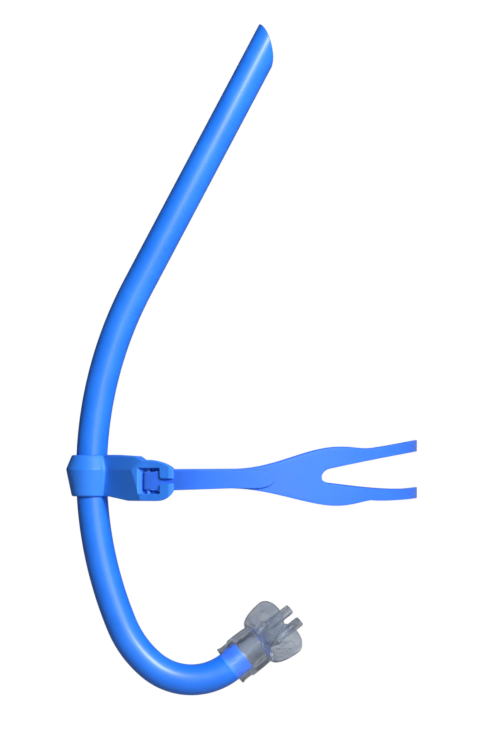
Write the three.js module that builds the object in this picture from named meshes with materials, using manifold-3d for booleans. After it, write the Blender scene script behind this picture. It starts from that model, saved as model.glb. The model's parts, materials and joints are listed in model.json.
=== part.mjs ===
// A frontal swimming snorkel: a bent breathing tube held in front of the forehead by a head bracket and a
// split silicone strap, with a clear silicone mouthpiece on its lower end.
// Millimetres. +X points to the back of the head, +Z up, and the wearer's left side is -Y.
// Inside the model group, the origin is on the tube's axis in the middle of the bracket's sleeve.

import * as THREE from 'three';
import { mergeVertices } from 'three/addons/utils/BufferGeometryUtils.js';
import { ConvexGeometry } from 'three/addons/geometries/ConvexGeometry.js';
import Module from 'manifold-3d';

const wasm = await Module();
wasm.setup();

// ---- Driving dimensions ----

// Tube: one bent pipe. Angles are in degrees.
const TUBE_R = 11;
const TUBE_WALL = 1.5;
const TOP_LENGTH = 195.2;
const TOP_LEAN = 27.9;
const MAIN_BEND_R = 282;
const MAIN_BEND_BELOW = 22.5;
const MAIN_BEND_Z = 2;
const LOWER_BEND_R = 75;
const LOWER_BEND = 27.5;
const END_BEND_R = 44;
const END_BEND = 78.3;
const TIP_CUT = 43;
const TIP_TURN = 10;

// Fits.
const SLIP = 0.35;
const SEAT = 0.3;

// Bracket sleeve, a double cone round the tube, with a pocket for the grip bush inside.
const SLEEVE_TOP = 14.7;
const SLEEVE_BORE_PLAY = 0.8;
const SLEEVE_WALL = 2.4;
const SLEEVE_CHAMFER = 0.8;
const RIDGE_RISE = 3.8;
const RIDGE_Z = 4.5;
const RIDGE_BAND = 0.8;
const BUSH_WALL = 1.3;
const BUSH_LIP = 7.7;
const POCKET_WALL = 2.3;

// Bracket arms and the strap buckles at their ends. The buckle leaves the arm along its own line in plan.
const ELBOW_X = 28.3;
const ELBOW_Y = 40;
const SPLAY = 35;
const BUCKLE_LENGTH = 35.6;
const BUCKLE_THICKNESS = 7;
const BUCKLE_END_BEVEL = 3;
const ARM_TOP = 13.6;
const ARM_BOTTOM = -17.6;
const ARM_ROOT_X = 4;
const ARM_ROOT_Y = 6;
const UPPER_FACET = 9.5;
const LOWER_FACET = 8.3;
const BUCKLE_TOP = 10.9;

// Strap, its window in the buckle and the pin that it folds round.
const STRAP_THICKNESS = 1.8;
const STRAP_WIDTH = 15.2;
const STRAP_Z = -3.4;
const STRAP_SIDE_PLAY = 1.5;
const WINDOW_START = 5.4;
const WINDOW_LENGTH = 19.1;
const JAW_THICKNESS = 2.4;
const JAW_SLIT = 3.3;
const PIN_R = 1.4;
const PIN_AT = 12.1;
const PIN_ENGAGEMENT = 3;
const TAIL_LENGTH = 70;
const TAIL_TONGUE = 14;
const STRAP_REAR_X = 230.1;
const STRAP_BULGE = 52;
const STRAP_REAR_PULL = 58;

// The strap widens towards the rear and splits into an upper and a lower arm. Lengths run from its rear.
const WIDEN_LENGTH = 128;
const WAIST = 2.5;
const WIDEST_LENGTH = 57;
const WIDEST_TOP = 20.2;
const WIDEST_BOTTOM = -20.8;
const SPLIT_LENGTH = 67;
const REAR_ARM_TOP = 25.6;
const REAR_ARM_BOTTOM = -15.7;
const REAR_ARM_WIDTH = 8;

// Forehead pad.
const PAD_THICKNESS = 3.4;
const PAD_TOP = 10.5;
const PAD_BOTTOM = -13;
const PAD_FLAT = 8;
const PAD_WING = 22;

// Mouthpiece. w runs along its axis from its lower end, u is its width and v its height.
const SLEEVE_DEPTH = 13;
const SOCKET_WALL = 3.05;
const BEAD_RISE = 0.6;
const BEAD_WIDTH = 1.6;
const NECK_RISE = 1;
const NECK_START = 9.4;
const FLANGE_W = 25;
const FLANGE_DEPTH = 28;
const FLANGE_HALF_WIDTH = 26.5;
const FLANGE_HALF_HEIGHT = 15.6;
const WING_HALF_HEIGHT = 13.8;
const FLANGE_WALL = 1.9;
const AIRWAY_STEP = 0.9;
const TAB_U = 16;
const TAB_WIDTH = 9;
const TAB_PLATE = 2.8;
const TAB_END_W = 59.5;
const LUG_HEIGHT = 6.6;
const LUG_THICKNESS = 2.4;
const LUG_LENGTH = 21;
const MOUTHPIECE_ROLL = 25;

// ---- Derived places ----

const rad = THREE.MathUtils.degToRad;
const BORE_R = TUBE_R + SLEEVE_BORE_PLAY;
const SLEEVE_EDGE_R = BORE_R + SLEEVE_WALL;
const RIDGE_R = SLEEVE_EDGE_R + RIDGE_RISE;
const BUSH_IN_R = TUBE_R + SLIP;
const BUSH_OUT_R = BUSH_IN_R + BUSH_WALL;
const BUSH_HALF = SLEEVE_TOP - BUSH_LIP - SEAT;
const POCKET_R = BUSH_OUT_R + SEAT;
const BRACKET_FACE_X = POCKET_R + POCKET_WALL;
const PAD_FACE_X = BRACKET_FACE_X + SEAT + PAD_THICKNESS;
const MOUTH_RISE = MAIN_BEND_BELOW + LOWER_BEND + END_BEND - 90;
const SPLAY_COS = Math.cos(rad(SPLAY));
const SPLAY_SIN = Math.sin(rad(SPLAY));
const TAIL_DEPTH = JAW_THICKNESS + SEAT + STRAP_THICKNESS / 2;
const BAND_DEPTH = TAIL_DEPTH + STRAP_THICKNESS + SEAT;
const PIN_DEPTH = (TAIL_DEPTH + BAND_DEPTH) / 2;
const WINDOW_END = WINDOW_START + WINDOW_LENGTH;
const WINDOW_TOP = STRAP_Z + STRAP_WIDTH / 2 + STRAP_SIDE_PLAY;
const WINDOW_BOTTOM = STRAP_Z - STRAP_WIDTH / 2 - STRAP_SIDE_PLAY;
const SOCKET_R = TUBE_R + SLIP + SOCKET_WALL;
const BEAD_R = SOCKET_R + BEAD_RISE;
const NECK_R = SOCKET_R + NECK_RISE;
const AIRWAY_R = TUBE_R - TUBE_WALL - AIRWAY_STEP;
const ROUND = 24;

// ---- Solids ----

// A closed three.js geometry as a solid that can be joined and cut.
function solid(geometry) {
  const plain = geometry.clone();
  plain.deleteAttribute('normal');
  plain.deleteAttribute('uv');
  const merged = mergeVertices(plain, 1e-4);
  return new wasm.Manifold(new wasm.Mesh({
    numProp: 3,
    vertProperties: new Float32Array(merged.attributes.position.array),
    triVerts: new Uint32Array(merged.index.array),
  }));
}

function geometryOf(body) {
  const mesh = body.getMesh();
  const geometry = new THREE.BufferGeometry();
  geometry.setAttribute('position', new THREE.BufferAttribute(mesh.vertProperties, 3));
  geometry.setIndex(new THREE.BufferAttribute(mesh.triVerts, 1));
  geometry.computeVertexNormals();
  return geometry;
}

// The same shape on the wearer's other side, with its faces turned to point out again.
function mirrored(geometry) {
  const copy = geometry.clone().scale(1, -1, 1);
  const corners = copy.index ?? new THREE.BufferAttribute(
    Uint32Array.from({ length: copy.attributes.position.count }, (_, i) => i), 1);
  const turned = [];
  for (let i = 0; i < corners.count; i += 3) {
    turned.push(corners.getX(i), corners.getX(i + 2), corners.getX(i + 1));
  }
  copy.setIndex(turned);
  return copy;
}

function shapeOf(points) {
  return new THREE.Shape(points.map(([x, y]) => new THREE.Vector2(x, y)));
}

// A plan outline in X and Y, carried up from one height to another.
function upright(shape, from, to) {
  const options = { depth: to - from, bevelEnabled: false, curveSegments: 8 };
  return solid(new THREE.ExtrudeGeometry(shape, options).translate(0, 0, from));
}

// A side outline in X and Z, carried across the whole width.
function across(shape, halfWidth) {
  const options = { depth: 2 * halfWidth, bevelEnabled: false, curveSegments: 8 };
  return solid(new THREE.ExtrudeGeometry(shape, options).translate(0, 0, -halfWidth).rotateX(Math.PI / 2));
}

// A round solid about Z from points of radius and height, listed upwards.
function turned(points, segments = ROUND * 2) {
  const profile = points.map(([r, z]) => new THREE.Vector2(r, z));
  return solid(new THREE.LatheGeometry(profile, segments).rotateX(Math.PI / 2));
}

function rod(radius, from, to, segments = ROUND) {
  return turned([[0, from], [radius, from], [radius, to], [0, to]], segments);
}

// A ring about Z: its outline runs up the outside and down the inside.
function ring(inside, outside, from, to) {
  return turned([[inside, from], [outside, from], [outside, to], [inside, to], [inside, from]]);
}

// ---- Paths ----

// A path known by its stations: a point and a direction at each one.
class Stations extends THREE.Curve {
  constructor(stations) {
    super();
    this.stations = stations;
  }

  getUtoTmapping(u) {
    return u;
  }

  at(t) {
    return this.stations[Math.round(t * (this.stations.length - 1))];
  }

  getPoint(t, target = new THREE.Vector3()) {
    return target.copy(this.at(t).point);
  }

  getTangent(t, target = new THREE.Vector3()) {
    return target.copy(this.at(t).direction);
  }
}

function sweep(section, stations) {
  const options = { steps: stations.length - 1, extrudePath: new Stations(stations), curveSegments: 12 };
  return new THREE.ExtrudeGeometry(section, options);
}

// The tube's centreline from the sleeve one way: up (1) or down (-1). Every bend curves towards +X.
function tubeWay(way, stretches) {
  const stations = [];
  let heading = 0;
  let x = 0;
  let z = MAIN_BEND_Z;
  for (const { radius, angle, length, steps } of stretches) {
    for (let i = 0; i < steps; i += 1) {
      if (radius) {
        const next = heading + rad(angle) / steps;
        x += radius * (Math.cos(heading) - Math.cos(next));
        z += way * radius * (Math.sin(next) - Math.sin(heading));
        heading = next;
      } else {
        x += length / steps * Math.sin(heading);
        z += way * length / steps * Math.cos(heading);
      }
      const direction = new THREE.Vector3(Math.sin(heading), 0, way * Math.cos(heading));
      stations.push({ point: new THREE.Vector3(x, 0, z), direction });
    }
  }
  return stations;
}

const tubeUp = tubeWay(1, [
  { radius: MAIN_BEND_R, angle: TOP_LEAN, steps: 9 },
  { length: TOP_LENGTH + 2 * TUBE_R, steps: 1 },
]);
const tubeDown = tubeWay(-1, [
  { radius: MAIN_BEND_R, angle: MAIN_BEND_BELOW, steps: 8 },
  { radius: LOWER_BEND_R, angle: LOWER_BEND, steps: 4 },
  { radius: END_BEND_R, angle: END_BEND, steps: 12 },
  { length: SLEEVE_DEPTH, steps: 1 },
]);
const tubeEnd = tubeDown[tubeDown.length - 1];

// ---- Tube ----

function buildTube() {
  const apex = { point: new THREE.Vector3(0, 0, MAIN_BEND_Z), direction: new THREE.Vector3(0, 0, 1) };
  const lower = tubeDown.map(({ point, direction }) => ({ point, direction: direction.clone().negate() }));
  const stations = [...lower.reverse(), apex, ...tubeUp];
  const section = new THREE.Shape().absarc(0, 0, TUBE_R, 0, 2 * Math.PI);
  section.holes.push(new THREE.Path().absarc(0, 0, TUBE_R - TUBE_WALL, 0, 2 * Math.PI, true));
  const pipe = solid(sweep(section, stations));

  // The tip is cut off on a slant, and what the cutting block holds is removed.
  const top = tubeUp[tubeUp.length - 1];
  const reach = 10 * TUBE_R;
  const block = new THREE.BoxGeometry(reach, reach, reach).translate(0, 0, reach / 2);
  block.rotateY(rad(TIP_CUT)).rotateZ(rad(TIP_TURN)).rotateY(rad(TOP_LEAN));
  const middle = top.point.clone().addScaledVector(top.direction, -2 * TUBE_R);
  return geometryOf(pipe.subtract(solid(block.translate(middle.x, 0, middle.z))));
}

// ---- Bracket ----

// A point on the left buckle: so far along it from the elbow, and so deep below its outer face.
function buckleXY(along, depth) {
  return [
    ELBOW_X + along * SPLAY_COS + depth * SPLAY_SIN,
    -ELBOW_Y - along * SPLAY_SIN + depth * SPLAY_COS,
  ];
}

// A block in the left buckle's own directions.
function buckleBlock(along0, along1, depth0, depth1, z0, z1) {
  const corners = [
    buckleXY(along0, depth0), buckleXY(along1, depth0), buckleXY(along1, depth1), buckleXY(along0, depth1),
  ];
  return upright(shapeOf(corners), z0, z1);
}

const pinXY = buckleXY(PIN_AT, PIN_DEPTH);
const pinBottom = WINDOW_BOTTOM - PIN_ENGAGEMENT;
const pinTop = WINDOW_TOP + PIN_ENGAGEMENT;

// The head side of the bracket in plan: its middle, the end of its flat, and where the left buckle starts.
function headSide() {
  return [[BRACKET_FACE_X, 0], [BRACKET_FACE_X, -PAD_FLAT], buckleXY(LOWER_FACET, BUCKLE_THICKNESS)];
}

function buildLeftArm() {
  const [, flat, armEnd] = headSide();
  const at = ([x, y], z) => new THREE.Vector3(x, y, z);
  const root = [ARM_ROOT_X, -ARM_ROOT_Y];
  const upper = buckleXY(UPPER_FACET, 0);
  const lower = buckleXY(LOWER_FACET, 0);
  // Part of the way out from the sleeve to a point on the buckle's face.
  const towards = ([x, y], share) => [root[0] + (x - root[0]) * share, root[1] + (y - root[1]) * share];
  const outer = [
    at(root, SLEEVE_TOP), at(root, RIDGE_Z), at(root, -SLEEVE_TOP),
    at(buckleXY(0, 0), RIDGE_Z), at(upper, BUCKLE_TOP), at(lower, ARM_BOTTOM),
    at(towards(upper, 0.85), ARM_TOP), at(towards(lower, 0.7), ARM_BOTTOM),
    at(towards(upper, 0.25), SLEEVE_TOP), at(towards(lower, 0.25), -SLEEVE_TOP),
  ];
  const inner = [
    at(flat, SLEEVE_TOP), at(flat, -SLEEVE_TOP), at(armEnd, BUCKLE_TOP), at(armEnd, ARM_BOTTOM),
    at([BRACKET_FACE_X, 0], SLEEVE_TOP), at([BRACKET_FACE_X, 0], -SLEEVE_TOP),
  ];
  return solid(new ConvexGeometry([...outer, ...inner]));
}

function buildLeftBuckle() {
  const end = BUCKLE_LENGTH;
  const plan = shapeOf([
    buckleXY(0, 0), buckleXY(end - BUCKLE_END_BEVEL, 0), buckleXY(end, BUCKLE_END_BEVEL / 2),
    buckleXY(end, BUCKLE_THICKNESS), buckleXY(LOWER_FACET, BUCKLE_THICKNESS),
    buckleXY(LOWER_FACET / 2, BUCKLE_THICKNESS / 2),
  ]);

  // From the side, the front edges follow the arm's two facets and the rear end is round.
  const rearX = buckleXY(end, BUCKLE_THICKNESS / 2)[0];
  const straightX = buckleXY(WINDOW_END - BUCKLE_THICKNESS, 0)[0];
  const rearTop = STRAP_Z + STRAP_WIDTH / 2 - 0.8;
  const rearBottom = STRAP_Z - STRAP_WIDTH / 2 + 1.5;
  const side = new THREE.Shape();
  side.moveTo(ELBOW_X, RIDGE_Z);
  side.lineTo(buckleXY(UPPER_FACET, 0)[0], BUCKLE_TOP);
  side.lineTo(straightX, BUCKLE_TOP);
  side.bezierCurveTo(straightX + 7.5, BUCKLE_TOP - 1, rearX - 3, rearTop + 4.1, rearX, rearTop);
  side.lineTo(rearX, rearBottom);
  side.bezierCurveTo(rearX - 3, rearBottom - 5, rearX - 7, ARM_BOTTOM, rearX - 13, ARM_BOTTOM);
  side.lineTo(buckleXY(LOWER_FACET, 0)[0], ARM_BOTTOM);
  return upright(plan, ARM_BOTTOM, BUCKLE_TOP).intersect(across(side, 2 * ELBOW_Y));
}

function buildLeftBuckleCuts() {
  const past = BUCKLE_THICKNESS + 3;
  const end = BUCKLE_LENGTH + 3;
  const window = buckleBlock(WINDOW_START, WINDOW_END, -3, past, WINDOW_BOTTOM, WINDOW_TOP);
  const channel = buckleBlock(WINDOW_END - 1, end, JAW_THICKNESS, past, WINDOW_BOTTOM, WINDOW_TOP);
  const slitBottom = STRAP_Z - JAW_SLIT / 2;
  const slit = buckleBlock(WINDOW_END - 1, end, -3, past, slitBottom, slitBottom + JAW_SLIT);
  const hole = rod(PIN_R + SEAT, pinBottom - SEAT, BUCKLE_TOP + 3).translate(pinXY[0], pinXY[1], 0);
  return window.add(channel).add(slit).add(hole);
}

function buildBracket() {
  const rim = SLEEVE_EDGE_R - SLEEVE_CHAMFER;
  const edge = SLEEVE_TOP - SLEEVE_CHAMFER;
  const sleeve = turned([
    [0, -SLEEVE_TOP], [rim, -SLEEVE_TOP], [SLEEVE_EDGE_R, -edge],
    [RIDGE_R, RIDGE_Z - RIDGE_BAND / 2], [RIDGE_R, RIDGE_Z + RIDGE_BAND / 2],
    [SLEEVE_EDGE_R, edge], [rim, SLEEVE_TOP], [0, SLEEVE_TOP],
  ]);
  const [, flat, armEnd] = headSide();
  const [farX] = buckleXY(BUCKLE_LENGTH + 3 * BUCKLE_THICKNESS, 0);
  const headSpace = upright(shapeOf([
    flat, armEnd, [farX, armEnd[1]], [farX, -armEnd[1]], [armEnd[0], -armEnd[1]], [flat[0], -flat[1]],
  ]), -2 * SLEEVE_TOP, 2 * SLEEVE_TOP);
  const back = solid(new THREE.BoxGeometry(BRACKET_FACE_X, 2 * PAD_FLAT, 2 * SLEEVE_TOP)
    .translate(BRACKET_FACE_X / 2, 0, 0));
  const arm = buildLeftArm().add(buildLeftBuckle()).subtract(buildLeftBuckleCuts());
  const otherArm = solid(mirrored(geometryOf(arm)));
  const bore = rod(BORE_R, -2 * SLEEVE_TOP, 2 * SLEEVE_TOP, ROUND * 2);
  const pocket = rod(POCKET_R, -BUSH_HALF - SEAT, BUSH_HALF + SEAT, ROUND * 2);
  const whole = sleeve.add(back).add(arm).add(otherArm);
  return geometryOf(whole.subtract(headSpace).subtract(bore).subtract(pocket));
}

function buildBush() {
  return geometryOf(ring(BUSH_IN_R, BUSH_OUT_R, -BUSH_HALF, BUSH_HALF));
}

function buildPin() {
  return geometryOf(rod(PIN_R, pinBottom, pinTop).translate(pinXY[0], pinXY[1], 0));
}

// ---- Forehead pad ----

function buildPad() {
  const [, [flatX, flatY], [endX, endY]] = headSide();
  const run = Math.hypot(endX - flatX, endY - flatY);
  const along = [(endX - flatX) / run, (endY - flatY) / run];
  const toHead = [-along[1], along[0]];
  const offset = (distance) => {
    // Where the flat and the wing meet, when both are moved towards the head by the same distance.
    const slide = distance * (1 - toHead[0]) / along[0];
    return [flatX + distance, flatY + distance * toHead[1] + slide * along[1]];
  };
  const tip = (distance) => [
    flatX + along[0] * PAD_WING + toHead[0] * distance,
    flatY + along[1] * PAD_WING + toHead[1] * distance,
  ];
  const thick = SEAT + PAD_THICKNESS;
  const left = [offset(SEAT), tip(SEAT), tip(thick), offset(thick)];
  const right = left.map(([x, y]) => [x, -y]);
  return geometryOf(upright(shapeOf([
    left[0], left[1], left[2], left[3], right[3], right[2], right[1], right[0],
  ]), PAD_BOTTOM, PAD_TOP));
}

// ---- Strap ----

// The band's left half in plan: straight out of the buckle, then round to the middle of the rear.
const bandStart = buckleXY(BUCKLE_LENGTH - 6, BAND_DEPTH);
const bandLeaves = buckleXY(BUCKLE_LENGTH + 2, BAND_DEPTH);
const bandLoop = new THREE.CubicBezierCurve3(
  new THREE.Vector3(bandLeaves[0], bandLeaves[1], 0),
  new THREE.Vector3(bandLeaves[0] + STRAP_BULGE * SPLAY_COS, bandLeaves[1] - STRAP_BULGE * SPLAY_SIN, 0),
  new THREE.Vector3(STRAP_REAR_X, -STRAP_REAR_PULL, 0),
  new THREE.Vector3(STRAP_REAR_X, 0, 0),
);

function outward({ point, direction }, distance) {
  const side = new THREE.Vector3(direction.y, -direction.x, 0);
  return { point: point.clone().addScaledVector(side, distance), direction };
}

function buckleStation(along, depth, angle) {
  const heading = rad(angle - SPLAY);
  const [x, y] = buckleXY(along, depth);
  return {
    point: new THREE.Vector3(x, y, 0),
    direction: new THREE.Vector3(Math.cos(heading), Math.sin(heading), 0),
  };
}

function strapSection(height) {
  const section = new THREE.Shape();
  const z = height / 2;
  const t = STRAP_THICKNESS / 2;
  section.moveTo(-z, -t).lineTo(z, -t).lineTo(z, t).lineTo(-z, t);
  return section;
}

function buildBand() {
  const steps = 26;
  const half = [{ point: new THREE.Vector3(bandStart[0], bandStart[1], 0), direction: bandLoop.getTangent(0) }];
  for (let i = 0; i <= steps; i += 1) {
    half.push({ point: bandLoop.getPointAt(i / steps), direction: bandLoop.getTangentAt(i / steps) });
  }
  const other = half.slice(0, -1).reverse().map(({ point, direction }) => ({
    point: new THREE.Vector3(point.x, -point.y, 0),
    direction: new THREE.Vector3(-direction.x, direction.y, 0),
  }));
  return solid(sweep(strapSection(4 * STRAP_WIDTH), [...half, ...other]));
}

// The band seen from the side: even at the buckles, widening into two arms round a long opening.
function bandSide() {
  const top = STRAP_Z + STRAP_WIDTH / 2;
  const bottom = STRAP_Z - STRAP_WIDTH / 2;
  const end = STRAP_REAR_X + STRAP_THICKNESS;
  const widen = STRAP_REAR_X - WIDEN_LENGTH;
  const widest = STRAP_REAR_X - WIDEST_LENGTH;
  const split = STRAP_REAR_X - SPLIT_LENGTH;
  const third = WIDEST_LENGTH / 3;
  const taper = (widest - widen) / 3;
  const side = new THREE.Shape();
  side.moveTo(ELBOW_X, bottom);
  side.lineTo(ELBOW_X, top);
  side.lineTo(widen, top + 0.3);
  side.bezierCurveTo(widen + 1.2 * taper, top + 1, widest - taper, WIDEST_TOP - 1.6, widest, WIDEST_TOP);
  side.bezierCurveTo(widest + 13, WIDEST_TOP + 0.8, widest + third, WIDEST_TOP - 2.2, end - 1.6 * third, 19.9);
  side.bezierCurveTo(end - third, REAR_ARM_TOP - 4.1, end - 8, REAR_ARM_TOP - 1.4, end, REAR_ARM_TOP);
  side.lineTo(end, REAR_ARM_BOTTOM);
  side.bezierCurveTo(end - 10, REAR_ARM_BOTTOM - 1.3, end - 1.4 * third, -18, end - 1.8 * third, -17);
  side.bezierCurveTo(widest + 15, WIDEST_BOTTOM + 2.1, widest + 9, WIDEST_BOTTOM - 0.6, widest - 3, WIDEST_BOTTOM);
  side.bezierCurveTo(widest - taper, WIDEST_BOTTOM + 1.5, widen + taper, bottom + WAIST, widen - 4, bottom + WAIST);
  const upper = REAR_ARM_TOP - REAR_ARM_WIDTH;
  const lower = REAR_ARM_BOTTOM + REAR_ARM_WIDTH;
  const gap = new THREE.Shape();
  gap.moveTo(end + 5, upper + 0.8);
  gap.bezierCurveTo(split + 42, 13, split + 20, 8.4, split + 6, 5.4);
  gap.bezierCurveTo(split - 2, 3.6, split - 2, -4.8, split + 5, -5.4);
  gap.bezierCurveTo(split + 22, -7.4, split + 42, -10.4, end - 9, -9.2);
  gap.lineTo(end + 5, lower + 0.6);
  return across(side, 3 * ELBOW_Y).subtract(across(gap, 4 * ELBOW_Y));
}

// The left end of the strap: in under the jaws, round the pin, and back out along the band as a tail.
function buildLeftTail() {
  const turnR = PIN_R + SEAT + STRAP_THICKNESS / 2;
  const stations = [
    buckleStation(BUCKLE_LENGTH, BAND_DEPTH, 180),
    buckleStation(WINDOW_END, BAND_DEPTH, 180),
  ];
  for (let angle = 180; angle >= 0; angle -= 20) {
    const along = PIN_AT - turnR * Math.sin(rad(angle));
    stations.push(buckleStation(along, PIN_DEPTH - turnR * Math.cos(rad(angle)), angle));
  }
  stations.push(buckleStation(WINDOW_END, TAIL_DEPTH, 0));
  const lift = BAND_DEPTH - TAIL_DEPTH;
  const length = bandLoop.getLength();
  const steps = 8;
  for (let i = 0; i <= steps; i += 1) {
    const u = i / steps * TAIL_LENGTH / length;
    stations.push(outward({ point: bandLoop.getPointAt(u), direction: bandLoop.getTangentAt(u) }, lift));
  }
  const tail = solid(sweep(strapSection(4 * STRAP_WIDTH), stations));

  // From the side the tail narrows with the band and ends in a round tongue.
  const bottom = STRAP_Z - STRAP_WIDTH / 2;
  const top = bottom + STRAP_WIDTH;
  const tipX = stations[stations.length - 1].point.x;
  const tongueX = tipX - TAIL_TONGUE;
  const middle = (top + bottom + WAIST) / 2;
  const side = new THREE.Shape();
  side.moveTo(ELBOW_X, bottom);
  side.lineTo(ELBOW_X, top);
  side.lineTo(tongueX, top);
  side.bezierCurveTo(tongueX + TAIL_TONGUE / 2, top, tipX, middle + 4, tipX, middle);
  side.bezierCurveTo(tipX, middle - 4, tongueX + TAIL_TONGUE / 2, bottom + WAIST, tongueX, bottom + WAIST);
  side.lineTo(STRAP_REAR_X - WIDEN_LENGTH - 4, bottom + WAIST);
  return tail.intersect(across(side, 3 * ELBOW_Y));
}

function buildStrap() {
  const band = buildBand().intersect(bandSide());
  const tail = buildLeftTail();
  const otherTail = solid(mirrored(geometryOf(tail)));
  return geometryOf(band.add(tail).add(otherTail));
}

// ---- Mouthpiece ----

function flangeArc(inset, steps) {
  const points = [];
  for (let i = 0; i <= steps; i += 1) {
    const angle = Math.PI * i / steps;
    points.push([
      (FLANGE_HALF_WIDTH - inset) * Math.cos(angle),
      FLANGE_W + FLANGE_DEPTH - (FLANGE_DEPTH - inset) * Math.sin(angle),
    ]);
  }
  return points;
}

// An outline in u and w, carried across a height in v.
function level(points, v0, v1) {
  const options = { depth: v1 - v0, bevelEnabled: false };
  return solid(new THREE.ExtrudeGeometry(shapeOf(points), options).rotateX(Math.PI / 2).translate(0, v1, 0));
}

// The flange seen from its side, in w and v, carried across its whole width: the wings end round.
function flangeSide() {
  const end = FLANGE_W + FLANGE_DEPTH;
  const side = new THREE.Shape();
  side.moveTo(0, -FLANGE_HALF_HEIGHT);
  side.lineTo(FLANGE_W + 2, -FLANGE_HALF_HEIGHT);
  side.lineTo(end - 11, -WING_HALF_HEIGHT);
  side.bezierCurveTo(end - 3, -WING_HALF_HEIGHT, end, -WING_HALF_HEIGHT / 2, end, 0);
  side.bezierCurveTo(end, WING_HALF_HEIGHT / 2, end - 3, WING_HALF_HEIGHT, end - 11, WING_HALF_HEIGHT);
  side.lineTo(FLANGE_W + 2, FLANGE_HALF_HEIGHT);
  side.lineTo(0, FLANGE_HALF_HEIGHT);
  const width = 2 * FLANGE_HALF_WIDTH + 4;
  const options = { depth: width, bevelEnabled: false, curveSegments: 8 };
  return solid(new THREE.ExtrudeGeometry(side, options).translate(0, 0, -width / 2).rotateY(-Math.PI / 2));
}

function buildBiteTab(side) {
  const inner = side * (TAB_U - TAB_WIDTH / 2);
  const outer = side * (TAB_U + TAB_WIDTH / 2);
  const round = side * 2;
  const plate = [
    [inner, FLANGE_W], [outer, FLANGE_W], [outer, TAB_END_W - 3], [outer - round, TAB_END_W], [inner, TAB_END_W],
  ];
  const lug = [
    [inner, TAB_END_W - LUG_LENGTH], [inner + side * LUG_THICKNESS, TAB_END_W - LUG_LENGTH],
    [inner + side * LUG_THICKNESS, TAB_END_W], [inner, TAB_END_W],
  ];
  const ordered = (points) => (side > 0 ? points : points.slice().reverse());
  return level(ordered(plate), -TAB_PLATE / 2, TAB_PLATE / 2)
    .add(level(ordered(lug), -LUG_HEIGHT / 2, LUG_HEIGHT / 2));
}

function buildMouthpiece() {
  const reach = FLANGE_HALF_HEIGHT + 4;
  const arcSteps = 28;
  const wall = level([...flangeArc(0, arcSteps), ...flangeArc(FLANGE_WALL, arcSteps).reverse()], -reach, reach);
  const flange = wall.intersect(flangeSide());
  const mouthSide = level(flangeArc(FLANGE_WALL, arcSteps), -reach, reach);
  const halfWay = level(flangeArc(FLANGE_WALL / 2, arcSteps), -reach, reach);
  const tabs = buildBiteTab(1).add(buildBiteTab(-1)).intersect(halfWay.add(upright(
    new THREE.Shape().absarc(0, 0, FLANGE_HALF_WIDTH, 0, 2 * Math.PI), FLANGE_W + FLANGE_DEPTH - 1, TAB_END_W)));
  const neckEnd = FLANGE_W + FLANGE_DEPTH * 0.3;
  const neck = turned([
    [0, 0], [BEAD_R, 0], [BEAD_R, BEAD_WIDTH], [SOCKET_R, BEAD_WIDTH + BEAD_RISE],
    [SOCKET_R, NECK_START - NECK_RISE], [NECK_R, NECK_START], [NECK_R, FLANGE_W - 6],
    [NECK_R - NECK_RISE, neckEnd], [0, neckEnd],
  ]).subtract(mouthSide);
  const socket = rod(TUBE_R + SLIP, -1, SLEEVE_DEPTH + SEAT, ROUND * 2);
  const airway = rod(AIRWAY_R, 0, FLANGE_W + FLANGE_DEPTH / 2);
  const body = neck.add(flange).add(tabs);
  return geometryOf(body.subtract(socket).subtract(airway));
}

// ---- Materials ----

function material(color, roughness, opacity = 1) {
  const options = { color, roughness, metalness: 0, opacity, transparent: opacity < 1 };
  return new THREE.MeshStandardMaterial(options);
}

const tubePlastic = material(0x2f7ff0, 0.15);
const bracketPlastic = material(0x2f78dc, 0.45);
const strapSilicone = material(0x3f8af5, 0.6);
const clearSilicone = material(0xb4bfd0, 0.2, 0.55);
const padFoam = material(0x20304a, 0.9);
const bushRubber = material(0x202226, 0.8);
const pinPlastic = material(0x4d96ee, 0.35);

// ---- Assembly ----

function part(name, geometry, surface) {
  const mesh = new THREE.Mesh(geometry, surface);
  mesh.name = name;
  return mesh;
}

const mouth = new THREE.Group();
const mouthStart = tubeEnd.point.clone().addScaledVector(tubeEnd.direction, -SLEEVE_DEPTH);
mouth.position.copy(mouthStart);
mouth.rotation.order = 'YZX';
mouth.rotation.y = rad(90 - MOUTH_RISE);
mouth.add(part('mouthpiece', buildMouthpiece(), clearSilicone));
mouth.children[0].rotation.z = rad(90 - MOUTHPIECE_ROLL);

const model = new THREE.Group();
model.position.x = -PAD_FACE_X;
const pin = buildPin();
model.add(
  part('tube', buildTube(), tubePlastic),
  part('grip_bush', buildBush(), bushRubber),
  part('bracket', buildBracket(), bracketPlastic),
  part('forehead_pad', buildPad(), padFoam),
  part('strap_pin_left', pin, pinPlastic),
  part('strap_pin_right', mirrored(pin), pinPlastic),
  part('strap', buildStrap(), strapSilicone),
  mouth,
);

const snorkel = new THREE.Group();
snorkel.add(model);

export default snorkel;
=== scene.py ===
"""A frontal swimming snorkel: a bent tube in a head bracket, a split strap and a clear mouthpiece."""

import json
from math import cos, hypot, pi, radians, sin

import bmesh
import bpy
from mathutils import Matrix, Vector


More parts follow.
